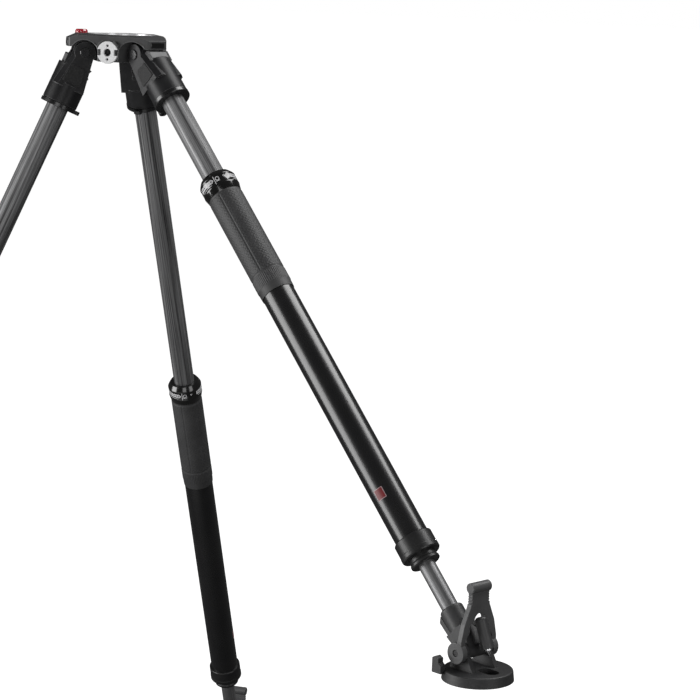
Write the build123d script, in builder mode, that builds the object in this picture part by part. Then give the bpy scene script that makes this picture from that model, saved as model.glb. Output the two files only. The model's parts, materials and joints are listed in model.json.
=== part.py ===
import os
from math import cos, radians, sin, tan

from build123d import *

os.makedirs("parts", exist_ok=True)

# The three legs, by name: azimuth, splay from vertical, bare length of upper tube, all at rest.
LEGS = {
    "rear": dict(azimuth=90, splay=24, lock_at=512),
    "left": dict(azimuth=210, splay=24, lock_at=512),
    "right": dict(azimuth=330, splay=43.9, lock_at=200.5),
}

# Crown: a casting with three leg corners and three port faces between them.
PIVOT_R = 50.5        # hinge pin, from the tripod's axis
PIVOT_DROP = 23.5     # hinge pin, below the bowl rim
PORT_APOTHEM = 48.0   # flat port face, from the tripod's axis
CORNER_APOTHEM = 71.0
CROWN_H = 34.0
ARCH_R = 16.5         # wheel arch over each leg's knuckle
ARCH_X = 1.5          # its centre, outward of the pin
WEB_R = 18.2          # web between the fork's cheeks that closes the arch
EAR_LOW = 7.0         # underside of a corner's outer end, above the pin
TONGUE_R = 12.0
TONGUE_W = 20.0
BOWL_R = 37.5         # seat of a 75 mm half ball
BOWL_SHELL = 3.0
BOWL_DEPTH = 30.0
RIM_R = 43.0
PIN_R = 5.0
PORT_R = 14.0
PORT_T = 3.5
PORT_DROP = 22.0
PORT_THREAD_R = 4.76  # 3/8 in accessory thread

# Leg head, in a frame at the hinge pin: X outward, Y along the pin, Z up the leg.
KNUCKLE_R = 13.2
CHEEK_Y = 21.5
FORK_Y = 10.8
HEAD_END = 72.0
HEAD_R = 22.9
RING_END = 77.0
RUN = 0.05            # radial play of a pin that turns

# Tubes.
UPPER_D, UPPER_WALL = 28.6, 1.4
OUTER_D, OUTER_WALL = 40.6, 1.5
LOWER_D, LOWER_WALL = 20.0, 1.5
TUBE_TOP = 38.0       # upper end of the upper tube, inside the head, from the hinge pin
UPPER_END = 617.0     # lower end of the upper tube, from the hinge pin
PLAY = 0.45           # radial play of a sleeve that turns or slides
LOCK_LEN = 28.5
GRIP_END = 177.0
OUTER_LEN = 560.0     # top of the twist lock to the nose, in the outer tube's own frame
LOWER_LEN = 530.0     # lower tube above the foot casting
LOWER_OUT = 50.0      # bare length of lower tube at rest

# Foot and shoe.
FOOT_PIN = 63.0       # shoe pin, below the top of the foot casting
SHOE_PIN_H = 32.0     # shoe pin, above the ground
SHOE_PIN_R = 4.0
SLEEVE_TOP = 9.0      # top of the foot's sleeve, below the foot frame's origin
HOUSING_R = 7.0
HOUSING_LEN = 36.5
SPIKE_R = 4.6
BASE_T = 12.0
EAR_IN, EAR_OUT = 15.3, 21.3
LOBE_IN, LOBE_OUT = 22.0, 29.0
ARCH_HALF = 15.6      # half width of the strap's arch, below its neck
ARCH_TOP_R = 8.4      # radius of the arch's round top
ARCH_MID = 35.3       # height of the round top's centre, above the shoe pin
GRIP_HALF = 15.0      # half length of the strap's cross grip

# The origin is on the tripod's axis, in the bore under the bowl.
TOP_Z = 32.1          # bowl rim


def save(part, label):
    part.label = label
    export_step(part, f"parts/{label}.step")


def group(parts):
    return Compound(children=parts)


def leg_frame(leg):
    spin = Location((0, 0, TOP_Z), (0, 0, leg["azimuth"]))
    pivot = Location((PIVOT_R, 0, -PIVOT_DROP))
    return spin * pivot * Location((0, 0, 0), (0, -leg["splay"], 0))


def outer_frame(leg):
    return leg_frame(leg) * Location((0, 0, -leg["lock_at"]))


def foot_frame(leg):
    return outer_frame(leg) * Location((0, 0, -OUTER_LEN - LOWER_OUT))


def shoe_frame(leg):
    level = Location((0, 0, -FOOT_PIN), (0, leg["splay"], 0))
    return foot_frame(leg) * level


def turned(points):
    """A solid of revolution about Z from (radius, z) points."""
    with BuildPart() as body:
        with BuildSketch(Plane.XZ):
            with BuildLine():
                Polyline(*points, close=True)
            make_face()
        revolve(axis=Axis.Z)
    return body.part


def sleeve(r_in, r_out, z0, z1):
    return turned([(r_in, z0), (r_out, z0), (r_out, z1), (r_in, z1)])


def side_plane(azimuth, radius, z):
    """Plane across a leg: its X is the outward direction, its Y is up, its Z lies along the pin."""
    a = radians(azimuth)
    out = Vector(cos(a), sin(a), 0)
    return Plane(origin=out * radius + Vector(0, 0, z), x_dir=out, z_dir=out.cross(Vector(0, 0, 1)))


def crown_outline():
    half = (PORT_APOTHEM - CORNER_APOTHEM * cos(radians(60))) / sin(radians(60))
    points = []
    for azimuth in (90, 210, 330):
        turn = Location((0, 0, 0), (0, 0, azimuth))
        for y in (-half, half):
            points.append((turn * Location((CORNER_APOTHEM, y, 0))).position)
    return [(p.X, p.Y) for p in points]


def crown_body():
    pivot_z = TOP_Z - PIVOT_DROP
    with BuildPart() as body:
        with BuildSketch(Plane.XY.offset(TOP_Z - CROWN_H)):
            with BuildLine():
                Polyline(*crown_outline(), close=True)
            make_face()
        extrude(amount=CROWN_H)
        fillet(body.edges().filter_by(Axis.Z), 4)
        chamfer(body.edges().group_by(Axis.Z)[-1], 2)
        level = shifted(210, 50, -24)
        with BuildSketch(Plane.XY.offset(TOP_Z - 8)):
            with Locations(level):
                Circle(8.5)
        extrude(amount=8)
        for azimuth in (90, 210, 330):
            across = side_plane(azimuth, PIVOT_R, pivot_z)
            with BuildSketch(across):
                with Locations((ARCH_X, 0)):
                    Circle(ARCH_R)
                with Locations((ARCH_X, -20)):
                    Rectangle(2 * ARCH_R, 40)
                with Locations((22, EAR_LOW - 20)):
                    Rectangle(20, 40)
                with BuildLine():
                    Polyline((6.5, 24), (6.5, 23.5), (25, 16.1), (25, 24), close=True)
                make_face()
            extrude(amount=45, both=True, mode=Mode.SUBTRACT)
            with BuildSketch(across):
                with BuildLine():
                    web = CenterArc((0, 0), WEB_R, 28, 170)
                    Polyline(web @ 1, (0, 0), web @ 0)
                make_face()
                Circle(TONGUE_R)
                with Locations((-11, 2)):
                    Rectangle(22, 20)
            extrude(amount=TONGUE_W / 2, both=True)
            with BuildSketch(across):
                Circle(PIN_R)
            extrude(amount=12, both=True, mode=Mode.SUBTRACT)
            port = side_plane(azimuth + 60, PORT_APOTHEM, TOP_Z - PORT_DROP)
            face = Plane(origin=port.origin, x_dir=port.z_dir, z_dir=port.x_dir)
            with BuildSketch(face.offset(-6)):
                for start in (205, 300):
                    with BuildLine():
                        inner = CenterArc((0, 0), PORT_R + 0.6, start, 36)
                        outer = CenterArc((0, 0), PORT_R + 2.4, start, 36)
                        Line(inner @ 0, outer @ 0)
                        Line(inner @ 1, outer @ 1)
                    make_face()
            extrude(amount=6 + PORT_T)
            with BuildSketch(face.offset(-7)):
                Circle(PORT_THREAD_R)
            extrude(amount=7, mode=Mode.SUBTRACT)
        with BuildSketch(Plane.XZ):
            with BuildLine():
                shell = BOWL_R + BOWL_SHELL
                Line((0, TOP_Z - shell), (0, TOP_Z))
                Line((0, TOP_Z), (shell, TOP_Z))
                CenterArc((0, TOP_Z), shell, 0, -90)
            make_face()
        revolve(axis=Axis.Z, mode=Mode.SUBTRACT)
        with BuildSketch(Plane.XY.offset(TOP_Z - 3)):
            Circle(RIM_R)
        extrude(amount=3, mode=Mode.SUBTRACT)
        with BuildSketch(Plane.XY.offset(TOP_Z - CROWN_H)):
            Circle(27)
        extrude(amount=8, mode=Mode.SUBTRACT)
    return body.part


def shifted(azimuth, radial, tangential):
    a = radians(azimuth)
    x = radial * cos(a) - tangential * sin(a)
    y = radial * sin(a) + tangential * cos(a)
    return (x, y)


def bowl_ring():
    outer = BOWL_R + BOWL_SHELL
    low_out = (outer**2 - BOWL_DEPTH**2) ** 0.5
    low_in = (BOWL_R**2 - BOWL_DEPTH**2) ** 0.5
    flange = (outer**2 - 9) ** 0.5
    with BuildPart() as body:
        with BuildSketch(Plane.XZ):
            with BuildLine():
                seat = RadiusArc((BOWL_R, TOP_Z), (low_in, TOP_Z - BOWL_DEPTH), BOWL_R)
                Line(seat @ 1, (low_out, TOP_Z - BOWL_DEPTH))
                RadiusArc((low_out, TOP_Z - BOWL_DEPTH), (flange, TOP_Z - 3), -outer)
                Polyline((flange, TOP_Z - 3), (RIM_R, TOP_Z - 3), (RIM_R, TOP_Z), (BOWL_R, TOP_Z))
            make_face()
        revolve(axis=Axis.Z)
    return body.part


def hinge_pin():
    with BuildPart() as body:
        with BuildSketch(Plane.XZ):
            Circle(PIN_R)
        extrude(amount=CHEEK_Y + 0.3, both=True)
        for side in (-1, 1):
            with BuildSketch(Plane.XZ.offset(side * (CHEEK_Y + 0.3))):
                Circle(6.4)
            extrude(amount=1.5 * side)
        chamfer(body.edges().group_by(Axis.Y)[0] + body.edges().group_by(Axis.Y)[-1], 0.6)
    return body.part


def accessory_port():
    """Disc facing +X, with a threaded hole, two locating holes and two side notches."""
    with BuildPart() as body:
        with BuildSketch(Plane.YZ):
            Circle(PORT_R)
            with Locations((-PORT_R, 0), (PORT_R, 0)):
                Rectangle(10, 7.6, mode=Mode.SUBTRACT)
            Circle(PORT_THREAD_R, mode=Mode.SUBTRACT)
            with Locations((0, 8.5), (0, -8.5)):
                Circle(1.6, mode=Mode.SUBTRACT)
        extrude(amount=PORT_T)
        chamfer(body.faces().sort_by(Axis.X)[-1].edges(), 0.4)
    return body.part


def level_cup():
    return turned([(6, 0), (8, 0), (8, 2.5), (6.6, 4.5), (6, 4.5)])


def level_vial():
    return turned([(0, 0), (6, 0), (6, 3.6), (4.5, 4.4), (0, 4.8)])


def leg_head():
    with BuildPart() as body:
        with BuildSketch(Plane.XZ):
            Circle(KNUCKLE_R)
            with BuildLine():
                Polyline((-12.6, 0), (13, 0), (21, -50), (-20.5, -50), close=True)
            make_face()
        extrude(amount=CHEEK_Y, both=True)
        posts = body.edges().filter_by(lambda e: abs(e.center().Z + 25) < 1 and e.length > 45)
        chamfer(posts, 6)
        with BuildSketch(Plane.XY.offset(-46)):
            Circle(HEAD_R)
        extrude(amount=-(HEAD_END - 46))
        chamfer(body.edges().group_by(Axis.Z)[0], 1)
        with BuildSketch(Plane.XY.offset(-22)):
            Circle(HEAD_R)
            with Locations((-12, 0)):
                Rectangle(36, 50, mode=Mode.SUBTRACT)
        extrude(amount=-24)
        with BuildSketch(Plane.XZ):
            with BuildLine():
                Polyline((6, -24), (18, -24), (18.3, -9.6), (17.4, -8.9), (11, -8.9), (6, -13), close=True)
            make_face()
        extrude(amount=16.4, both=True)
        with BuildSketch(Plane.XZ):
            Circle(14.4)
            with Locations((0, 12)):
                Rectangle(40, 24)
            with Locations((-12, 2)):
                Rectangle(24, 23)
            with Locations((10, -3.5)):
                Rectangle(20, 7)
        extrude(amount=FORK_Y, both=True, mode=Mode.SUBTRACT)
        with BuildSketch(Plane.XZ):
            Circle(PIN_R + RUN)
        extrude(amount=30, both=True, mode=Mode.SUBTRACT)
        with BuildSketch(Plane.XY.offset(-HEAD_END)):
            Circle(UPPER_D / 2)
        extrude(amount=HEAD_END - TUBE_TOP, mode=Mode.SUBTRACT)
        with BuildSketch(Plane.XZ):
            with Locations((17.1, -15.7)):
                Rectangle(5, 11)
        extrude(amount=14.3, both=True, mode=Mode.SUBTRACT)
        with BuildSketch(Plane.XZ):
            with BuildLine():
                Polyline(
                    (-12, -17.5), (-16.5, -16.8), (-20.3, -18.2), (-18.8, -21), (-18, -24.5),
                    (-18.6, -27), (-20.4, -28.4), (-20.8, -30.4), (-14, -31.5), close=True,
                )
            make_face()
        extrude(amount=3.5, both=True)
    return body.part


def selector_button():
    """Flat pad on the outer face of the head; it has the button's travel behind it."""
    with BuildPart() as body:
        with BuildSketch(Plane.XZ):
            with Locations((17.1, -15.7)):
                Rectangle(2.6, 10.2)
        extrude(amount=13.9, both=True)
        chamfer(body.faces().sort_by(Axis.X)[-1].edges(), 0.6)
    return body.part


def end_ring():
    with BuildPart() as body:
        with BuildSketch(Plane.XY.offset(-HEAD_END)):
            Circle(HEAD_R + 0.6)
            with Locations((-HEAD_R, 0)):
                RectangleRounded(12, 11, 4)
            Circle(UPPER_D / 2, mode=Mode.SUBTRACT)
            with Locations((-HEAD_R - 2.4, 0)):
                Circle(2, mode=Mode.SUBTRACT)
        extrude(amount=-(RING_END - HEAD_END))
        chamfer(body.edges().group_by(Axis.Z)[0], 0.6)
    return body.part


def upper_tube():
    return sleeve(UPPER_D / 2 - UPPER_WALL, UPPER_D / 2, -UPPER_END, -TUBE_TOP)


def upper_bush():
    return sleeve(UPPER_D / 2, OUTER_D / 2 - OUTER_WALL - 0.3, -UPPER_END, -UPPER_END + 30)


def lock_ring():
    bore_top = UPPER_D / 2 + PLAY
    bore_low = OUTER_D / 2 + PLAY
    return turned([
        (bore_top, 0), (19.6, 0), (23.2, -5.6), (23.6, -6.6), (23.6, -20), (21.8, -LOCK_LEN),
        (bore_low, -LOCK_LEN), (bore_low, -9), (bore_top, -9),
    ])


def twist_grip():
    bore = OUTER_D / 2 + PLAY
    return turned([
        (bore, -LOCK_LEN), (21.9, -LOCK_LEN), (21.9, -GRIP_END + 6), (21.7, -GRIP_END + 5),
        (21.2, -GRIP_END), (bore, -GRIP_END),
    ])


def outer_tube():
    return sleeve(OUTER_D / 2 - OUTER_WALL, OUTER_D / 2, -540, -10)


def lower_collar():
    r = OUTER_D / 2
    return turned([
        (r, -526), (r + 2.4, -526), (r + 3, -527), (r + 3, -542), (r + 3.4, -543), (r + 3.4, -547.5),
        (r + 2.4, -549), (r, -549),
    ])


def collar_nose():
    r = OUTER_D / 2
    bore = LOWER_D / 2 + 0.35
    return turned([
        (bore, -540), (r, -540), (r, -549.6), (16.8, -549.6), (16.8, -554.5), (17.9, -556.5),
        (17.9, -OUTER_LEN + 1), (16.9, -OUTER_LEN), (bore, -OUTER_LEN),
    ])


def lower_tube():
    return sleeve(LOWER_D / 2 - LOWER_WALL, LOWER_D / 2, -34, LOWER_LEN)


def lower_bush():
    return sleeve(LOWER_D / 2, UPPER_D / 2 - UPPER_WALL - 0.3, LOWER_LEN - 20, LOWER_LEN)


def spike_line():
    """The spike's axis in the foot frame: its top, and the unit vector down it."""
    top = Vector(33.5, 0, -FOOT_PIN + 22.4)
    down = Vector(-sin(radians(21.5)), 0, -cos(radians(21.5)))
    return top, down


def foot_casting():
    top, down = spike_line()
    across = Plane(origin=top, x_dir=(0, 1, 0), z_dir=down)
    with BuildPart() as body:
        with BuildSketch(Plane.XY.offset(-SLEEVE_TOP)):
            Circle(14)
        extrude(amount=SLEEVE_TOP - 40)
        fillet(body.edges().group_by(Axis.Z)[-1], 3.5)
        with BuildSketch(Plane.XZ):
            with Locations((0, -FOOT_PIN)):
                Circle(9)
            with BuildLine():
                Polyline(
                    (-14, -36), (-8.9, -FOOT_PIN), (8.9, -FOOT_PIN), (12, -50), (14, -36), close=True,
                )
            make_face()
        extrude(amount=14, both=True)
        with BuildSketch(Plane.XZ):
            with BuildLine():
                Polyline((-17.5, -17), (-12, -12), (-10, -46), (-14.5, -50), close=True)
            make_face()
        extrude(amount=9, both=True)
        with BuildSketch(Plane.XZ):
            with BuildLine():
                Polyline((10, -22), (27, -52), (21, -66), (8, -60), close=True)
            make_face()
        extrude(amount=5, both=True)
        with BuildSketch(across):
            Circle(HOUSING_R)
        extrude(amount=HOUSING_LEN)
        fillet(body.edges().filter_by(GeomType.CIRCLE).sort_by(lambda e: (e.center() - top).length)[0], 4)
        with BuildSketch(across.offset(HOUSING_LEN)):
            Circle(SPIKE_R)
        extrude(amount=-24, mode=Mode.SUBTRACT)
        with BuildSketch(Plane.XY):
            Circle(LOWER_D / 2)
        extrude(amount=-34, mode=Mode.SUBTRACT)
        with BuildSketch(Plane.XZ):
            with Locations((0, -FOOT_PIN)):
                Circle(SHOE_PIN_R + RUN)
        extrude(amount=20, both=True, mode=Mode.SUBTRACT)
    return body.part


def spike():
    top, down = spike_line()
    axis = Plane(origin=top, x_dir=(0, 1, 0), z_dir=down)
    with BuildPart() as body:
        with BuildSketch(axis.offset(HOUSING_LEN - 24)):
            Circle(SPIKE_R)
        extrude(amount=26)
        with BuildSketch(axis.offset(HOUSING_LEN + 2)):
            Circle(SPIKE_R - 1)
        with BuildSketch(axis.offset(HOUSING_LEN + 9)):
            Circle(0.6)
        loft()
    return body.part


def shoe_base():
    """Oval rubber pad with two ears, a pocket under the spike and a hook, in the shoe's level frame."""
    floor = -SHOE_PIN_H
    with BuildPart() as body:
        with BuildSketch(Plane.XY.offset(floor)):
            with Locations((9, 0)):
                Ellipse(40, 42)
        extrude(amount=BASE_T, taper=7)
        fillet(body.edges().group_by(Axis.Z)[-1], 2)
        with BuildSketch(Plane.XY.offset(floor + BASE_T)):
            with Locations((25, 0)):
                SlotOverall(26, 17)
        extrude(amount=-7, mode=Mode.SUBTRACT)
        for side in (-1, 1):
            with BuildSketch(Plane.XZ.offset(-side * EAR_IN)):
                Circle(10)
                with BuildLine():
                    Polyline((-9.8, -2), (9.8, -2), (22, -23), (-16, -23), close=True)
                make_face()
                Circle(SHOE_PIN_R, mode=Mode.SUBTRACT)
            extrude(amount=-side * (EAR_OUT - EAR_IN))
        with BuildSketch(Plane.XZ.offset(34)) as hook:
            with BuildLine():
                Polyline(
                    (-9, -24), (-9, -15), (-13, -12), (-13, -7), (-18, -4.5), (-22.5, -7), (-22.5, -24),
                    close=True,
                )
            make_face()
            tips = hook.vertices().group_by(Axis.Y)
            fillet(tips[-1] + tips[-2], 1.4)
        extrude(amount=8)
    return body.part


def shoe_pin():
    with BuildPart() as body:
        with BuildSketch(Plane.XZ):
            Circle(SHOE_PIN_R)
        extrude(amount=LOBE_OUT - 0.8, both=True)
        chamfer(body.edges().group_by(Axis.Y)[0] + body.edges().group_by(Axis.Y)[-1], 0.6)
    return body.part


def shoe_strap():
    """Forked strap with a notched neck and a cross grip; it turns about the shoe pin."""
    with BuildPart() as body:
        with BuildSketch(Plane.YZ.offset(2)) as outline:
            with BuildLine():
                Polyline(
                    (LOBE_OUT, 0), (LOBE_OUT - 0.5, 14), (24, 33), (15.5, 52), (13.9, 60), (13.9, 72),
                    (-13.9, 72), (-13.9, 60), (-15.5, 52), (-24, 33), (-LOBE_OUT + 0.5, 14),
                    (-LOBE_OUT, 0), close=True,
                )
            make_face()
            fillet(outline.vertices(), 3)
            with BuildLine():
                Polyline(
                    (LOBE_IN, -1), (LOBE_IN, 15), (ARCH_HALF, 23), (ARCH_HALF, 31), (ARCH_TOP_R, ARCH_MID),
                    (-ARCH_TOP_R, ARCH_MID), (-ARCH_HALF, 31), (-ARCH_HALF, 23), (-LOBE_IN, 15),
                    (-LOBE_IN, -1), close=True,
                )
            make_face(mode=Mode.SUBTRACT)
            with Locations((0, ARCH_MID)):
                Circle(ARCH_TOP_R, mode=Mode.SUBTRACT)
            with Locations(*[(side * 14.3, 56 + 3 * k) for side in (-1, 1) for k in range(4)]):
                Circle(0.9, mode=Mode.SUBTRACT)
        extrude(amount=6)
        for side in (-1, 1):
            with BuildSketch(Plane.XZ.offset(-side * LOBE_IN)):
                Circle(12)
            extrude(amount=-side * (LOBE_OUT - LOBE_IN))
        with BuildSketch(Plane.XZ):
            with Locations((5, 73)):
                Circle(6.2)
        extrude(amount=GRIP_HALF, both=True)
        ends = body.edges().filter_by(lambda e: abs(abs(e.center().Y) - GRIP_HALF) < 0.01)
        chamfer(ends, 0.8)
        with BuildSketch(Plane.XZ):
            Circle(SHOE_PIN_R + RUN)
        extrude(amount=40, both=True, mode=Mode.SUBTRACT)
    return body.part


def main():
    save(crown_body(), "crown_body")
    save(bowl_ring(), "bowl_ring")
    pin = hinge_pin()
    port = accessory_port()
    pins = []
    ports = []
    for azimuth in (90, 210, 330):
        spin = Location((0, 0, TOP_Z), (0, 0, azimuth))
        pins.append(spin * Location((PIVOT_R, 0, -PIVOT_DROP)) * pin)
        turn = Location((0, 0, TOP_Z), (0, 0, azimuth + 60))
        ports.append(turn * Location((PORT_APOTHEM, 0, -PORT_DROP)) * port)
    save(group(pins), "hinge_pins")
    save(group(ports), "accessory_ports")
    level = Location((*shifted(210, 50, -24), TOP_Z))
    save(level * level_cup(), "level_cup")
    save(level * level_vial(), "level_vial")
    pieces = {
        "head": (leg_head(), leg_frame),
        "selector": (selector_button(), leg_frame),
        "end_ring": (end_ring(), leg_frame),
        "upper_tube": (upper_tube(), leg_frame),
        "upper_bush": (upper_bush(), leg_frame),
        "lock_ring": (lock_ring(), outer_frame),
        "grip": (twist_grip(), outer_frame),
        "outer_tube": (outer_tube(), outer_frame),
        "collar": (lower_collar(), outer_frame),
        "nose": (collar_nose(), outer_frame),
        "lower_tube": (lower_tube(), foot_frame),
        "lower_bush": (lower_bush(), foot_frame),
        "foot": (foot_casting(), foot_frame),
        "spike": (spike(), foot_frame),
        "shoe": (shoe_base(), shoe_frame),
        "shoe_pin": (shoe_pin(), shoe_frame),
        "strap": (shoe_strap(), shoe_frame),
    }
    for name, leg in LEGS.items():
        for piece, (solid, frame) in pieces.items():
            save(frame(leg) * solid, f"{name}_{piece}")


main()
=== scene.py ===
import json
from math import cos, hypot, pi, radians, sin

import bpy
from mathutils import Matrix, Vector


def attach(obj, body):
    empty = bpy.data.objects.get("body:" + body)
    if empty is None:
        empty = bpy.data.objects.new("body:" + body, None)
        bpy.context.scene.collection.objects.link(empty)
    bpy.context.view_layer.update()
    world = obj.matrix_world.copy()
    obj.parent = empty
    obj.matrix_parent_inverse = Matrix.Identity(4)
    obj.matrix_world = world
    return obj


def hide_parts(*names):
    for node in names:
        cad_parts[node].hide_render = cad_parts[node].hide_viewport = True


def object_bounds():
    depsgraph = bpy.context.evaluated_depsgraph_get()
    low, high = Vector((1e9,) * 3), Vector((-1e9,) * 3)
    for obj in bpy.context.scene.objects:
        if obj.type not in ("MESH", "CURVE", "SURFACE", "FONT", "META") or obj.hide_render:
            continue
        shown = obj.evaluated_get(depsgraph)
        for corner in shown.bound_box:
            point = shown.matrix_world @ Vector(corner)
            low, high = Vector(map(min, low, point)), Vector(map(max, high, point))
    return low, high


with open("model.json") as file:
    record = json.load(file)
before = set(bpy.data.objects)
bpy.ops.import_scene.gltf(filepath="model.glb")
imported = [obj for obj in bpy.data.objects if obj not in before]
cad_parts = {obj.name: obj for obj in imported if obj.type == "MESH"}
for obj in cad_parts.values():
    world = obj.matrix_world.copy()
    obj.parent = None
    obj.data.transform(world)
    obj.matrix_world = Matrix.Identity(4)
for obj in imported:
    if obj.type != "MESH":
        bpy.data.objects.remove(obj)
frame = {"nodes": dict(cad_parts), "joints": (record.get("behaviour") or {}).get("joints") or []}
cad_lo, cad_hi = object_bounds()
ground = cad_lo[2]
nodes = frame["nodes"]
joints = {j["name"]: j for j in frame["joints"]}
LEGS = ("rear", "left", "right")

# Dimensions shared with the CAD, in mm.
PIVOT_R = 50.5          # hinge pin, from the tripod's axis
FLANK = 48.0            # port face, from the tripod's axis
ARCH_R, ARCH_X = 16.5, 1.5
CORNER_END = 20.5       # a corner's outer end, outward of the pin
CHEEK_Y = 21.5          # outer face of a head's cheek
LOCK_TO_PIN = 20.0      # the twist lock's joint, below the top of the outer tube
FOOT_PIN = 63.0         # shoe pin, below the top of the foot casting
LOCK_BORE, LOCK_SEAT = 14.75, 20.75
BAND_R = 23.35          # printed band of the lock ring
UPPER_R, OUTER_R, LOWER_R = 14.3, 20.3, 10.0
COLLAR_R, COLLAR_SCREW_Z = 23.3, -543
LABEL_Z = -466


# ---------------------------------------------------------------- frames of the three legs
def basis(origin, x, y, z):
    m = Matrix((x, y, z)).transposed().to_4x4()
    m.translation = origin
    return m


def leg_frames(leg):
    """Matrices of the leg at its hinge, the outer tube at its lock, the foot, and the level shoe."""
    down = Vector(joints[leg + "_upper_slide"]["axis"])
    y = -Vector(joints[leg + "_splay"]["axis"])
    x = y.cross(-down)
    head = basis(Vector(joints[leg + "_splay"]["pos_m"]), x, y, -down)
    lock = basis(Vector(joints[leg + "_twist_lock"]["pos_m"]) - down * LOCK_TO_PIN / 1000, x, y, -down)
    pin = Vector(joints[leg + "_shoe_tilt"]["pos_m"])
    foot = basis(pin - down * FOOT_PIN / 1000, x, y, -down)
    up = Vector((0, 0, 1))
    shoe = basis(pin, y.cross(up), y, up)
    return {"leg": head, "outer": lock, "lower": foot, "shoe": shoe}


# ---------------------------------------------------------------- material helpers
class Nodes:
    def __init__(self, name):
        self.mat = bpy.data.materials.new(name)
        self.mat.use_nodes = True
        self.tree = self.mat.node_tree
        self.bsdf = self.tree.nodes["Principled BSDF"]

    def add(self, kind, **values):
        n = self.tree.nodes.new(kind)
        for key, value in values.items():
            if key in n.inputs:
                n.inputs[key].default_value = value
            else:
                setattr(n, key.lower().replace(" ", "_"), value)
        return n

    def link(self, a, out, b, into):
        self.tree.links.new(a.outputs[out], b.inputs[into])

    def coords(self, space, scale=(1, 1, 1)):
        tc = self.add("ShaderNodeTexCoord")
        mp = self.add("ShaderNodeMapping", Scale=scale)
        self.link(tc, space, mp, "Vector")
        return mp

    def noise(self, vec, scale, detail=4.0, rough=0.55):
        n = self.add("ShaderNodeTexNoise", Scale=scale, Detail=detail, Roughness=rough)
        self.link(vec, "Vector", n, "Vector")
        return n

    def ramp(self, src, out, low, high, p0=0.35, p1=0.65):
        r = self.add("ShaderNodeValToRGB")
        e = r.color_ramp.elements
        e[0].position, e[1].position = p0, p1
        e[0].color = (*low, 1) if len(low) == 3 else low
        e[1].color = (*high, 1) if len(high) == 3 else high
        self.link(src, out, r, "Fac")
        return r

    def span(self, src, out, low, high):
        m = self.add("ShaderNodeMapRange")
        m.inputs["To Min"].default_value = low
        m.inputs["To Max"].default_value = high
        self.link(src, out, m, "Value")
        return m

    def bump(self, src, out, strength, distance, after=None):
        b = self.add("ShaderNodeBump", Strength=strength, Distance=distance)
        self.link(src, out, b, "Height")
        if after is not None:
            self.link(after, "Normal", b, "Normal")
        self.link(b, "Normal", self.bsdf, "Normal")
        return b

    def set(self, **values):
        for key, value in values.items():
            self.bsdf.inputs[key.replace("_", " ")].default_value = value
        return self


def grained(name, low, high, rough, spread=0.06, grain=900.0, depth=0.00012, strength=0.25, metallic=0.0,
            coat=0.0, shine=0.5, edge_highlight=None):
    """Moulded, cast or painted surface: two close colours in soft patches, a fine grain and uneven gloss.
    Its last argument, if given, is the colour of a painted highlight laid along its edges."""
    n = Nodes(name)
    n.set(Metallic=metallic, Coat_Weight=coat, Coat_Roughness=0.12, Specular_IOR_Level=shine)
    vec = n.coords("Object")
    patches = n.noise(vec, 28.0, 3.0)
    fine = n.noise(vec, grain, 3.0)
    colour = n.ramp(patches, "Fac", low, high)
    gloss = n.span(fine, "Fac", max(0.03, rough - spread), min(1.0, rough + spread))
    n.link(gloss, "Result", n.bsdf, "Roughness")
    if edge_highlight is None:
        n.link(colour, "Color", n.bsdf, "Base Color")
        n.bump(fine, "Fac", strength, depth)
        return n.mat
    eased = n.add("ShaderNodeBevel", Radius=0.0011)
    eased.samples = 6
    n.bump(fine, "Fac", strength, depth, eased)
    # Painted highlight: the colour turns lighter where the rounded normal leaves the flat one, along every edge.
    flat = n.add("ShaderNodeNewGeometry")
    agree = n.add("ShaderNodeVectorMath", operation="DOT_PRODUCT")
    n.tree.links.new(eased.outputs["Normal"], agree.inputs[0])
    n.tree.links.new(flat.outputs["Normal"], agree.inputs[1])
    highlight_mask = n.add("ShaderNodeMapRange")
    highlight_mask.inputs["From Min"].default_value = 0.995
    highlight_mask.inputs["From Max"].default_value = 0.90
    n.tree.links.new(agree.outputs["Value"], highlight_mask.inputs["Value"])
    mixed = n.add("ShaderNodeMix", data_type="RGBA")
    n.link(highlight_mask, "Result", mixed, 0)
    n.tree.links.new(colour.outputs["Color"], mixed.inputs[6])
    mixed.inputs[7].default_value = (*edge_highlight, 1)
    n.tree.links.new(mixed.outputs[2], n.bsdf.inputs["Base Color"])
    return n.mat


def carbon_material():
    """Wound carbon tube under clear lacquer: fine and broad streaks along the tube."""
    n = Nodes("carbon_tube")
    n.set(Coat_Weight=0.25, Coat_Roughness=0.22, Metallic=0.75)
    uv = n.coords("UV", (1, 1, 1))
    along = n.add("ShaderNodeMapping", Scale=(520, 7, 1))
    n.link(uv, "Vector", along, "Vector")
    streaks = n.noise(along, 1.0, 5.0, 0.6)
    broad_map = n.add("ShaderNodeMapping", Scale=(150, 1.6, 1))
    n.link(uv, "Vector", broad_map, "Vector")
    broad = n.noise(broad_map, 1.0, 2.0, 0.5)
    both = n.add("ShaderNodeMix", data_type="FLOAT")
    both.inputs["Factor"].default_value = 0.45
    n.link(streaks, "Fac", both, "A")
    n.link(broad, "Fac", both, "B")
    colour = n.ramp(both, "Result", (0.02, 0.02, 0.021), (0.42, 0.42, 0.425), 0.38, 0.70)
    n.link(colour, "Color", n.bsdf, "Base Color")
    gloss = n.span(both, "Result", 0.82, 0.52)
    n.link(gloss, "Result", n.bsdf, "Roughness")
    n.bump(both, "Result", 0.22, 0.0002)
    return n.mat


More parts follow.
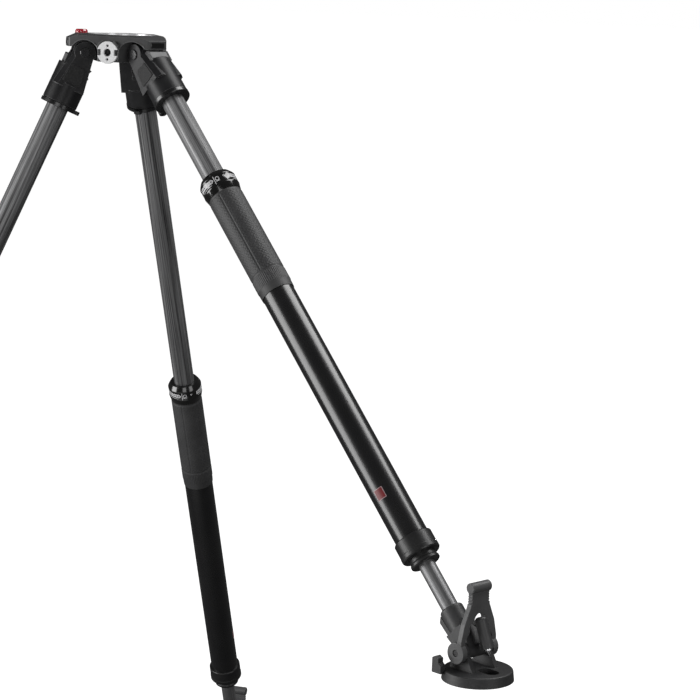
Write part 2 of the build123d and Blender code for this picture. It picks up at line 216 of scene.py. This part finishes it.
def brushed_material(name, low, high, rough, around=9.0, along=900.0, metallic=1.0):
    """Metal with fine lines round the piece."""
    n = Nodes(name)
    n.set(Metallic=metallic)
    uv = n.coords("UV", (around, along, 1))
    lines = n.noise(uv, 1.0, 4.0)
    colour = n.ramp(lines, "Fac", low, high)
    n.link(colour, "Color", n.bsdf, "Base Color")
    gloss = n.span(lines, "Fac", rough - 0.08, rough + 0.1)
    n.link(gloss, "Result", n.bsdf, "Roughness")
    n.bump(lines, "Fac", 0.15, 0.0001)
    return n.mat


def knurled_material():
    """Black casting with a fine crossed knurl."""
    n = Nodes("knurled_casting")
    vec = n.coords("Object")
    waves = []
    for lean in (1, -1):
        turn = n.add("ShaderNodeMapping", Rotation=(0, 0, lean * pi / 4))
        n.link(vec, "Vector", turn, "Vector")
        wave = n.add("ShaderNodeTexWave", Scale=330.0, Distortion=0.4, Detail=1.0)
        n.link(turn, "Vector", wave, "Vector")
        waves.append(wave)
    both = n.add("ShaderNodeMath", operation="MULTIPLY")
    n.tree.links.new(waves[0].outputs["Fac"], both.inputs[0])
    n.tree.links.new(waves[1].outputs["Fac"], both.inputs[1])
    colour = n.ramp(both, "Value", (0.006, 0.006, 0.0065), (0.015, 0.015, 0.0155), 0.1, 0.7)
    n.link(colour, "Color", n.bsdf, "Base Color")
    gloss = n.span(both, "Value", 0.5, 0.34)
    n.link(gloss, "Result", n.bsdf, "Roughness")
    n.bump(both, "Value", 0.6, 0.0004)
    return n.mat


def glow_plastic(name, low, high):
    n = Nodes(name)
    n.set(Transmission_Weight=0.45, IOR=1.49, Coat_Weight=0.6)
    vec = n.coords("Object")
    haze = n.noise(vec, 160.0, 3.0)
    colour = n.ramp(haze, "Fac", low, high)
    n.link(colour, "Color", n.bsdf, "Base Color")
    gloss = n.span(haze, "Fac", 0.10, 0.24)
    n.link(gloss, "Result", n.bsdf, "Roughness")
    return n.mat


MAT = {
    # casting, crown and strap get a lighter colour on their edges as a painted highlight.
    "casting": grained("black_casting", (0.011, 0.011, 0.012), (0.021, 0.021, 0.022), 0.38, 0.1, 1500, 0.00018, 0.35,
                       shine=0.25, edge_highlight=(0.12, 0.12, 0.122)),
    # Painted light: the crown is the same black casting as the heads, given a lighter colour for the light on its
    # flanks.
    "crown": grained("crown_casting_painted_light", (0.034, 0.034, 0.035), (0.060, 0.060, 0.061), 0.42, 0.1, 1500, 0.00018, 0.35,
                     edge_highlight=(0.19, 0.19, 0.192)),
    "casting_gloss": grained("black_casting_gloss", (0.010, 0.010, 0.011), (0.016, 0.016, 0.017), 0.24, 0.05, 900,
                             0.0001, 0.18, coat=0.3),
    # Painted highlight: mid-grey beads along the arch edges of the black crown.
    "rim_highlight": grained("arch_rim_highlight", (0.075, 0.075, 0.076), (0.13, 0.13, 0.132), 0.26, 0.06, 900, 0.0001, 0.2, coat=0.3),
    "pad": grained("grey_pad", (0.135, 0.135, 0.138), (0.165, 0.165, 0.168), 0.55, 0.08, 2200, 0.0002, 0.5),
    "plastic": grained("black_plastic", (0.010, 0.010, 0.011), (0.016, 0.016, 0.016), 0.36, 0.08, 1800, 0.00012, 0.3),
    "tube_black": grained("tube_black", (0.009, 0.009, 0.0095), (0.012, 0.012, 0.0125), 0.27, 0.035, 2600, 0.00006,
                          0.12, coat=0.25),
    "lock_black": grained("lock_black", (0.006, 0.006, 0.006), (0.009, 0.009, 0.009), 0.16, 0.04, 1200, 0.00006, 0.1,
                          coat=0.6),
    "print": grained("printed_marks", (0.55, 0.55, 0.56), (0.66, 0.66, 0.67), 0.45, 0.06, 3000, 0.00005, 0.1),
    "rubber": grained("grip_rubber", (0.034, 0.034, 0.035), (0.050, 0.050, 0.051), 0.55, 0.08, 2400, 0.0002, 0.45),
    "shoe": grained("shoe_rubber", (0.022, 0.022, 0.023), (0.034, 0.034, 0.035), 0.50, 0.1, 1700, 0.00025, 0.5),
    "strap": grained("strap_plastic", (0.062, 0.062, 0.063), (0.090, 0.090, 0.091), 0.46, 0.1, 1700, 0.00025, 0.5,
                     edge_highlight=(0.17, 0.17, 0.172)),
    "foot": grained("foot_casting", (0.030, 0.030, 0.031), (0.046, 0.046, 0.047), 0.44, 0.08, 1900, 0.0002, 0.45),
    "knurled": knurled_material(),
    "guide": grained("guide_bush", (0.08, 0.08, 0.08), (0.11, 0.11, 0.11), 0.6, 0.06, 1200, 0.0001, 0.2),
    "carbon": carbon_material(),
    "low_tube": brushed_material("lower_tube", (0.16, 0.16, 0.163), (0.27, 0.27, 0.275), 0.42, 420, 5.0, 0.7),
    "bright": grained("bright_seat", (0.80, 0.80, 0.81), (0.90, 0.90, 0.905), 0.30, 0.06, 1600, 0.0001, 0.2,
                      metallic=0.55),
    "port": grained("port_aluminium", (0.86, 0.86, 0.865), (0.93, 0.93, 0.935), 0.42, 0.05, 1800, 0.00008, 0.2,
                    metallic=0.25),
    "steel": grained("steel", (0.50, 0.50, 0.51), (0.62, 0.62, 0.63), 0.26, 0.06, 900, 0.00006, 0.15, metallic=1.0),
    "red": glow_plastic("red_level", (0.55, 0.01, 0.03), (0.85, 0.04, 0.07)),
    "vial": glow_plastic("level_vial", (0.80, 0.25, 0.25), (0.95, 0.45, 0.42)),
    "label": grained("label_red", (0.13, 0.006, 0.009), (0.19, 0.010, 0.014), 0.4, 0.05, 1500, 0.00005, 0.1),
    "label_edge": grained("label_edge", (0.36, 0.24, 0.25), (0.46, 0.33, 0.34), 0.45, 0.05, 1500, 0.00005, 0.1),
}


# ---------------------------------------------------------------- mesh helpers
def finish_piece(obj, mat, matrix, body):
    obj.data.materials.clear()
    obj.data.materials.append(MAT[mat])
    obj.matrix_world = matrix
    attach(obj, body)
    return obj


def new_mesh(name, verts, faces, uvs=None, crease=32):
    mesh = bpy.data.meshes.new(name)
    mesh.from_pydata([(x / 1000, y / 1000, z / 1000) for x, y, z in verts], [], faces)
    if uvs:
        layer = mesh.uv_layers.new(name="UVMap")
        for loop in mesh.loops:
            layer.data[loop.index].uv = uvs[loop.vertex_index]
    mesh.validate()
    mesh.shade_smooth()
    mesh.set_sharp_from_angle(angle=radians(crease))
    mesh.update()
    return mesh


def lathe_mesh(name, profile, seg=128, relief=None, crease=32):
    """Closed profile of (radius, z) in mm, turned about Z. relief(angle, index) adds to a radius. UVs in metres."""
    n = len(profile)
    verts, uvs, faces = [], [], []
    run = [0.0]
    for k in range(1, n):
        run.append(run[-1] + hypot(profile[k][0] - profile[k - 1][0], profile[k][1] - profile[k - 1][1]))
    for k, (r, z) in enumerate(profile):
        for i in range(seg):
            a = 2 * pi * i / seg
            rr = r + (relief(a, k) if relief else 0.0)
            verts.append((rr * cos(a), rr * sin(a), z))
            uvs.append((abs(a - pi) * 0.02, run[k] / 1000))
    for k in range(n):
        k2 = (k + 1) % n
        for i in range(seg):
            j = (i + 1) % seg
            faces.append((k * seg + i, k * seg + j, k2 * seg + j, k2 * seg + i))
    return new_mesh(name, verts, faces, uvs, crease)


def put(name, mesh, mat, matrix, body, replaces=None):
    obj = bpy.data.objects.new(name, mesh)
    bpy.context.scene.collection.objects.link(obj)
    finish_piece(obj, mat, matrix, body)
    if replaces:
        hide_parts(replaces)
    return obj


def along(points, step=1.0, closed=False):
    """The path again with a point at least every step mm."""
    path = list(points) + ([points[0]] if closed else [])
    out = []
    for (s0, z0), (s1, z1) in zip(path, path[1:]):
        count = max(1, int(hypot(s1 - s0, z1 - z0) / step + 0.5))
        out += [(s0 + (s1 - s0) * i / count, z0 + (z1 - z0) * i / count) for i in range(count)]
    return out if closed else out + [path[-1]]


def ribbon(points, width, closed=False):
    """Left and right edges of a flat stroke along points of (arc, z) in mm."""
    pts = along(points, 1.0, closed)
    n = len(pts)
    edges = []
    for i, (s, z) in enumerate(pts):
        a = pts[i - 1] if closed or i else pts[0]
        b = pts[(i + 1) % n] if closed or i < n - 1 else pts[i]
        ds, dz = b[0] - a[0], b[1] - a[1]
        size = hypot(ds, dz) or 1.0
        ns, nz = -dz / size * width / 2, ds / size * width / 2
        edges.append(((s + ns, z + nz), (s - ns, z - nz)))
    return edges, closed


def wrapped_marks(name, strokes, radius, height=0.15, sink=0.1):
    """Thin raised strokes laid round a cylinder about Z."""
    verts, faces = [], []
    for edges, closed in strokes:
        first = len(verts)
        for left, right in edges:
            for (s, z), r in ((left, radius - sink), (left, radius + height), (right, radius + height),
                              (right, radius - sink)):
                verts.append((r * cos(s / radius), r * sin(s / radius), z))
        n = len(edges)
        for i in range(n if closed else n - 1):
            a, b = first + 4 * i, first + 4 * ((i + 1) % n)
            for k in range(4):
                m = (k + 1) % 4
                faces.append((a + k, a + m, b + m, b + k))
        if not closed:
            faces.append((first + 3, first + 2, first + 1, first))
            last = first + 4 * (n - 1)
            faces.append((last, last + 1, last + 2, last + 3))
    return new_mesh(name, verts, faces, None, 40)


def slab(name, outline, thickness, edge):
    """Flat plate of the (x, y) outline, with its top edge chamfered, standing on z = 0."""
    n = len(outline)
    cx, cy = sum(p[0] for p in outline) / n, sum(p[1] for p in outline) / n
    reach = max(hypot(x - cx, y - cy) for x, y in outline)
    k = 1 - edge / reach
    low = [(x, y, 0) for x, y in outline]
    side = [(x, y, thickness - edge) for x, y in outline]
    top = [(cx + (x - cx) * k, cy + (y - cy) * k, thickness) for x, y in outline]
    faces = [tuple(reversed(range(n))), tuple(range(2 * n, 3 * n))]
    for level in (0, n):
        for i in range(n):
            j = (i + 1) % n
            faces.append((level + i, level + j, level + n + j, level + n + i))
    return new_mesh(name, low + side + top, faces, None, 30)


def rounded(corners, radius, steps=5):
    """Outline through the corners, anticlockwise, each corner rounded."""
    out = []
    n = len(corners)
    for i, corner in enumerate(corners):
        p = Vector(corner)
        a = (Vector(corners[i - 1]) - p).normalized()
        b = (Vector(corners[(i + 1) % n]) - p).normalized()
        for k in range(steps + 1):
            t = k / steps
            q = p + a * radius * (1 - t) ** 2 + b * radius * t**2
            out.append((q.x, q.y))
    return out


# ---------------------------------------------------------------- CAD nodes that stay
KEEP = {
    "head": "casting", "selector": "pad", "end_ring": "tube_black", "upper_bush": "guide", "collar": "plastic",
    "nose": "plastic", "lower_bush": "guide", "foot": "foot", "spike": "steel", "shoe": "shoe",
    "shoe_pin": "casting_gloss", "strap": "strap",
}
CROWN = {
    "crown_body": "crown", "bowl_ring": "bright", "hinge_pins": "casting_gloss", "accessory_ports": "port",
    "level_cup": "red", "level_vial": "vial",
}


def dress(node, mat):
    obj = nodes[node]
    obj.data.materials.clear()
    obj.data.materials.append(MAT[mat])
    obj.data.shade_smooth()
    obj.data.set_sharp_from_angle(angle=radians(28))


for node, mat in CROWN.items():
    dress(node, mat)
for leg in LEGS:
    for part, mat in KEEP.items():
        dress(f"{leg}_{part}", mat)


# ---------------------------------------------------------------- turned pieces of each leg
def tube_profile(r_in, r_out, z0, z1, c=0.3):
    return [(r_in, z0 + c), (r_in + c, z0), (r_out - c, z0), (r_out, z0 + c), (r_out, z1 - c), (r_out - c, z1),
            (r_in + c, z1), (r_in, z1 - c)]


def knurled_grip():
    """Rubber sleeve: six panels of crossed cuts, a groove, a band of fine ribs and a smooth tapered end."""
    seg, bore, r, z0, z1 = 240, 20.75, 21.6, -28.5, -177.0
    lip, groove, ribs, plain = 3.0, 119.0, 121.5, 138.0
    steps = 200
    profile = [(bore, z0), (21.4, z0)]
    tops = []
    for k in range(steps + 1):
        z = z0 - 0.6 + (z1 - z0 + 3.2) * k / steps
        profile.append((r, z))
        tops.append(z)
    profile += [(21.1, z1), (bore, z1)]

    def relief(a, k):
        if k < 2 or k >= 2 + len(tops):
            return 0.0
        z = z0 - tops[k - 2]
        if z < lip or groove < z < ribs:
            return -0.4
        if z > plain:
            return -0.1 - 0.3 * (z - plain) / 10
        if z >= ribs:
            return 0.05 + 0.28 * cos(a * 60)
        if abs(((a / (2 * pi) * 6) % 1.0) - 0.5) > 0.47:
            return -0.3
        crossing = (abs(sin(a * 15 + z * 0.66)) < 0.3) + (abs(sin(a * 15 - z * 0.66)) < 0.3)
        return 0.25 - 0.35 * min(crossing, 1)

    return lathe_mesh("grip", profile, seg, relief, 60)


def lock_profile():
    return [(LOCK_BORE, -0.4), (LOCK_BORE + 0.4, 0), (19.1, 0), (19.7, -0.2), (22.8, -5), (23.3, -6), (23.6, -6.8),
            (23.6, -7.4), (23.35, -7.8), (23.35, -18.6), (23.6, -19), (23.6, -20.2), (23.3, -21), (21.9, -27.6),
            (21.5, -28.4), (LOCK_SEAT, -28.4), (LOCK_SEAT, -9), (LOCK_BORE, -9)]


def ring_of(s, z, r, steps=20):
    return [(s + r * cos(2 * pi * i / steps), z + r * sin(2 * pi * i / steps)) for i in range(steps)]


def lock_marks():
    """Plain printed band, three times round: a pointed pale strip, an index line, an open ring; and its dark bars."""
    pale, dark = [], []
    third = 2 * pi * BAND_R / 3
    for turn in range(3):
        index = radians(-51) * BAND_R + turn * third
        pale.append(ribbon([(index, -7.6), (index, -18.8)], 0.9))
        pale.append(ribbon([(index - 27, -12.6), (index - 3.4, -12.6)], 5.2))
        pale.append(ribbon([(index - 3.4, -13.9), (index - 2.0, -12.6), (index - 3.4, -11.3)], 1.0))
        pale.append(ribbon([(index - 24, -17.2), (index - 6.0, -17.2)], 0.6))
        for k in range(7):
            s = index - 5.2 - 3.2 * k
            dark.append(ribbon([(s, -14.2 + 0.2 * k), (s, -11.0)], 0.9))
            dark.append(ribbon([(s + 0.4, -12.6), (s + 1.8, -12.6)], 0.7))
        pale.append(ribbon(ring_of(index + 4.0, -12.4, 2.3), 0.9, True))
        pale.append(ribbon([(index + 1.4, -15.6), (index + 6.6, -15.6)], 0.8))
        pale.append(ribbon(ring_of(index + 13.4, -11.6, 1.2, 12), 0.6, True))
    return wrapped_marks("lock_marks", pale, BAND_R), wrapped_marks("lock_bars", dark, BAND_R, 0.24)


def tube_label():
    """Plain dark red patch; its border is a separate mesh."""
    mid = radians(-70.7) * OUTER_R
    patch = wrapped_marks("label_patch", [ribbon([(mid - 5.2, LABEL_Z), (mid + 5.2, LABEL_Z)], 12.4)], OUTER_R, 0.10)
    w, h = 5.7, 6.6
    corners = [(mid - w, LABEL_Z - h), (mid + w, LABEL_Z - h), (mid + w, LABEL_Z + h), (mid - w, LABEL_Z + h)]
    border = wrapped_marks("label_border", [ribbon(corners, 0.7, True)], OUTER_R, 0.16)
    return patch, border


def cheek_panel():
    corners = [(-12.2, -43.5), (12.8, -43.5), (9.4, -20.0), (-9.0, -20.0)]
    return slab("cheek_panel", rounded(corners, 3.0), 0.9, 0.5)


def screw_head(name, r, h):
    profile = [(0.01, h * 0.55), (r * 0.42, h * 0.55), (r * 0.5, h), (r * 0.72, h), (r, h * 0.55), (r, -0.6),
               (0.01, -0.6)]
    return lathe_mesh(name, profile, 24, None, 35)


upper_mesh = lathe_mesh("upper_tube", tube_profile(12.9, UPPER_R, -617, -38), 96)
outer_mesh = lathe_mesh("outer_tube", tube_profile(18.8, OUTER_R, -540, -10), 128)
lower_mesh = lathe_mesh("lower_tube", tube_profile(8.5, LOWER_R, -34, 530), 96)
grip_mesh = knurled_grip()
lock_mesh = lathe_mesh("lock_ring", lock_profile(), 144)
marks_mesh, bars_mesh = lock_marks()
patch_mesh, border_mesh = tube_label()
panel_mesh = cheek_panel()
screw_mesh = screw_head("screw", 1.6, 0.9)


def on_cheek(side):
    """Leg frame to a plate frame on the cheek: plate x along leg x, plate y along leg z."""
    return basis(Vector((0, side * CHEEK_Y / 1000, 0)), Vector((-side, 0, 0)), Vector((0, 0, 1)), Vector((0, side, 0)))


def round_bead(name, path, radius, sides=10):
    """Bead of round section along a path of points in mm, closed at both ends."""
    verts, faces = [], []
    n = len(path)
    for i, p in enumerate(path):
        ahead = (Vector(path[min(i + 1, n - 1)]) - Vector(path[max(i - 1, 0)])).normalized()
        u = ahead.cross(Vector((0, 1, 0))).normalized()
        v = ahead.cross(u)
        for k in range(sides):
            a = 2 * pi * k / sides
            q = Vector(p) + (u * cos(a) + v * sin(a)) * radius
            verts.append(tuple(q))
    for i in range(n - 1):
        for k in range(sides):
            m = (k + 1) % sides
            faces.append((i * sides + k, i * sides + m, (i + 1) * sides + m, (i + 1) * sides + k))
    faces.append(tuple(range(sides - 1, -1, -1)))
    faces.append(tuple((n - 1) * sides + k for k in range(sides)))
    return new_mesh(name, verts, faces, None, 50)


def arch_rim_highlight(side):
    """Edge of a wheel arch on the flank beside it, in a level frame at the hinge pin; side is the sign of y. A thin
    lighter bead there is a painted highlight of that edge.
    """
    profile = [(ARCH_X - ARCH_R, -9), (ARCH_X - ARCH_R, -4)]
    for i in range(33):
        a = pi - pi * i / 32
        profile.append((ARCH_X + ARCH_R * cos(a), ARCH_R * sin(a)))
    half, root = 0.5, 0.75 ** 0.5
    path = [(x, side * (FLANK - (x + PIVOT_R) * half) / root, z) for x, z in profile]
    return round_bead("arch_rim_highlight", [p for p in path if p[0] < 16.4 or p[2] > 7.2], 0.8)


def on_barrel(angle, radius, z):
    """Frame on a turned surface, its Z outward."""
    out = Vector((cos(angle), sin(angle), 0))
    return basis(out * radius / 1000 + Vector((0, 0, z / 1000)), Vector((-sin(angle), cos(angle), 0)),
                 Vector((0, 0, 1)), out)


for leg in LEGS:
    at = leg_frames(leg)
    put(leg + "_carbon_tube", upper_mesh, "carbon", at["leg"], leg + "_leg", leg + "_upper_tube")
    put(leg + "_black_tube", outer_mesh, "tube_black", at["outer"], leg + "_outer", leg + "_outer_tube")
    put(leg + "_bare_tube", lower_mesh, "low_tube", at["lower"], leg + "_lower", leg + "_lower_tube")
    put(leg + "_grip_sleeve", grip_mesh, "rubber", at["outer"], leg + "_lock", leg + "_grip")
    put(leg + "_lock_collar", lock_mesh, "lock_black", at["outer"], leg + "_lock", leg + "_lock_ring")
    put(leg + "_lock_print", marks_mesh, "print", at["outer"], leg + "_lock")
    put(leg + "_lock_bars", bars_mesh, "lock_black", at["outer"], leg + "_lock")
    put(leg + "_label", patch_mesh, "label", at["outer"], leg + "_outer")
    put(leg + "_label_border", border_mesh, "label_edge", at["outer"], leg + "_outer")
    screw_place = at["outer"] @ on_barrel(radians(27), COLLAR_R, COLLAR_SCREW_Z)
    put(leg + "_collar_screw", screw_mesh, "steel", screw_place, leg + "_outer")
    for side, word in ((-1, "near"), (1, "far")):
        put(f"{leg}_cheek_panel_{word}", panel_mesh, "knurled", at["leg"] @ on_cheek(side), leg + "_leg")


# Beads along the arch edges, coloured as a painted highlight.
rims = {side: arch_rim_highlight(side) for side in (-1, 1)}
plate_mesh = slab("corner_plate", rounded([(-10.4, -3.2), (10.4, -3.2), (10.4, 3.2), (-10.4, 3.2)], 1.4), 0.5, 0.25)
for leg in LEGS:
    pin = leg_frames(leg)["leg"]
    y = pin.to_3x3() @ Vector((0, 1, 0))
    up = Vector((0, 0, 1))
    level = basis(pin.translation, y.cross(up), y, up)
    for side, word in ((-1, "near"), (1, "far")):
        put(f"{leg}_arch_rim_highlight_{word}", rims[side], "rim_highlight", level, "crown")
    out = y.cross(up)
    plate_place = basis(pin.translation + out * CORNER_END / 1000 + up * 0.0125, y, up, out)
    put(leg + "_corner_plate", plate_mesh, "lock_black", plate_place, "crown")


# ---------------------------------------------------------------- camera, floor and light
cam_data = bpy.data.cameras.new("camera")
camera = bpy.data.objects.new("camera", cam_data)
bpy.context.scene.collection.objects.link(camera)
cam_data.lens = 117.17
cam_data.sensor_width = 36
heading, tilt, roll = radians(-15.998), radians(9.44), radians(2.185)
forward = Vector((sin(heading) * cos(tilt), cos(heading) * cos(tilt), -sin(tilt)))
side = Vector((cos(heading), -sin(heading), 0))
above = side.cross(forward)
turned_side = side * cos(roll) + above * sin(roll)
turned_up = above * cos(roll) - side * sin(roll)
camera.matrix_world = basis(Vector((1.1026, -2.7379, 0.1228)), turned_side, turned_up, -forward)
bpy.context.scene.camera = camera


def floor():
    """Pale paper seen by the camera alone, so that it lightens no underside."""
    mesh = bpy.data.meshes.new("floor")
    s = 60.0
    mesh.from_pydata([(x, y, ground) for x, y in ((-s, -s), (s, -s), (s, s), (-s, s))], [], [(0, 1, 2, 3)])
    obj = bpy.data.objects.new("floor", mesh)
    bpy.context.scene.collection.objects.link(obj)
    n = Nodes("floor_paper")
    n.set(Roughness=0.9, Specular_IOR_Level=0.0, Emission_Color=(1, 1, 1, 1), Emission_Strength=1.02)
    vec = n.coords("Object")
    tone = n.noise(vec, 3.0, 2.0)
    colour = n.ramp(tone, "Fac", (0.28, 0.28, 0.28), (0.30, 0.30, 0.30))
    n.link(colour, "Color", n.bsdf, "Base Color")
    mesh.materials.append(n.mat)
    obj.visible_diffuse = False
    obj.visible_glossy = False


def studio_world(room_light):
    """White where the camera looks past the floor, and a dim even room for everything else."""
    world = bpy.data.worlds.new("studio")
    world.use_nodes = True
    tree = world.node_tree
    back = tree.nodes["Background"]
    back.inputs["Color"].default_value = (1, 1, 1, 1)
    seen = tree.nodes.new("ShaderNodeLightPath")
    level = tree.nodes.new("ShaderNodeMapRange")
    level.inputs["To Min"].default_value = room_light
    level.inputs["To Max"].default_value = 1.0
    tree.links.new(seen.outputs["Is Camera Ray"], level.inputs["Value"])
    tree.links.new(level.outputs["Result"], back.inputs["Strength"])
    bpy.context.scene.world = world


def softbox(name, place, aim, width, height, power):
    data = bpy.data.lights.new(name, "AREA")
    data.shape = "RECTANGLE"
    data.size, data.size_y, data.energy = width, height, power
    obj = bpy.data.objects.new(name, data)
    bpy.context.scene.collection.objects.link(obj)
    obj.location = place
    obj.rotation_mode = "QUATERNION"
    obj.rotation_quaternion = (Vector(aim) - Vector(place)).to_track_quat("-Z", "Y")


floor()
studio_world(0.06)
middle = Vector((0.2, 0, ground + 0.75))
softbox("left_box", middle + Vector((-2.75, -1.45, 0.15)), middle, 1.9, 2.2, 88)
softbox("front_box", middle + Vector((0.7, -3.3, 0.5)), middle, 1.4, 1.6, 16)
softbox("right_box", middle + Vector((2.9, -1.7, 0.4)), middle, 1.3, 2.0, 20)
softbox("top_box", middle + Vector((1.3, 0.75, 2.4)), middle, 1.7, 1.7, 66)
softbox("floor_glow", Vector((-0.15, -0.7, ground + 0.03)), Vector((0.0, 0.0, 0.0)), 1.6, 1.2, 3)
bpy.context.scene.view_settings.view_transform = "Standard"
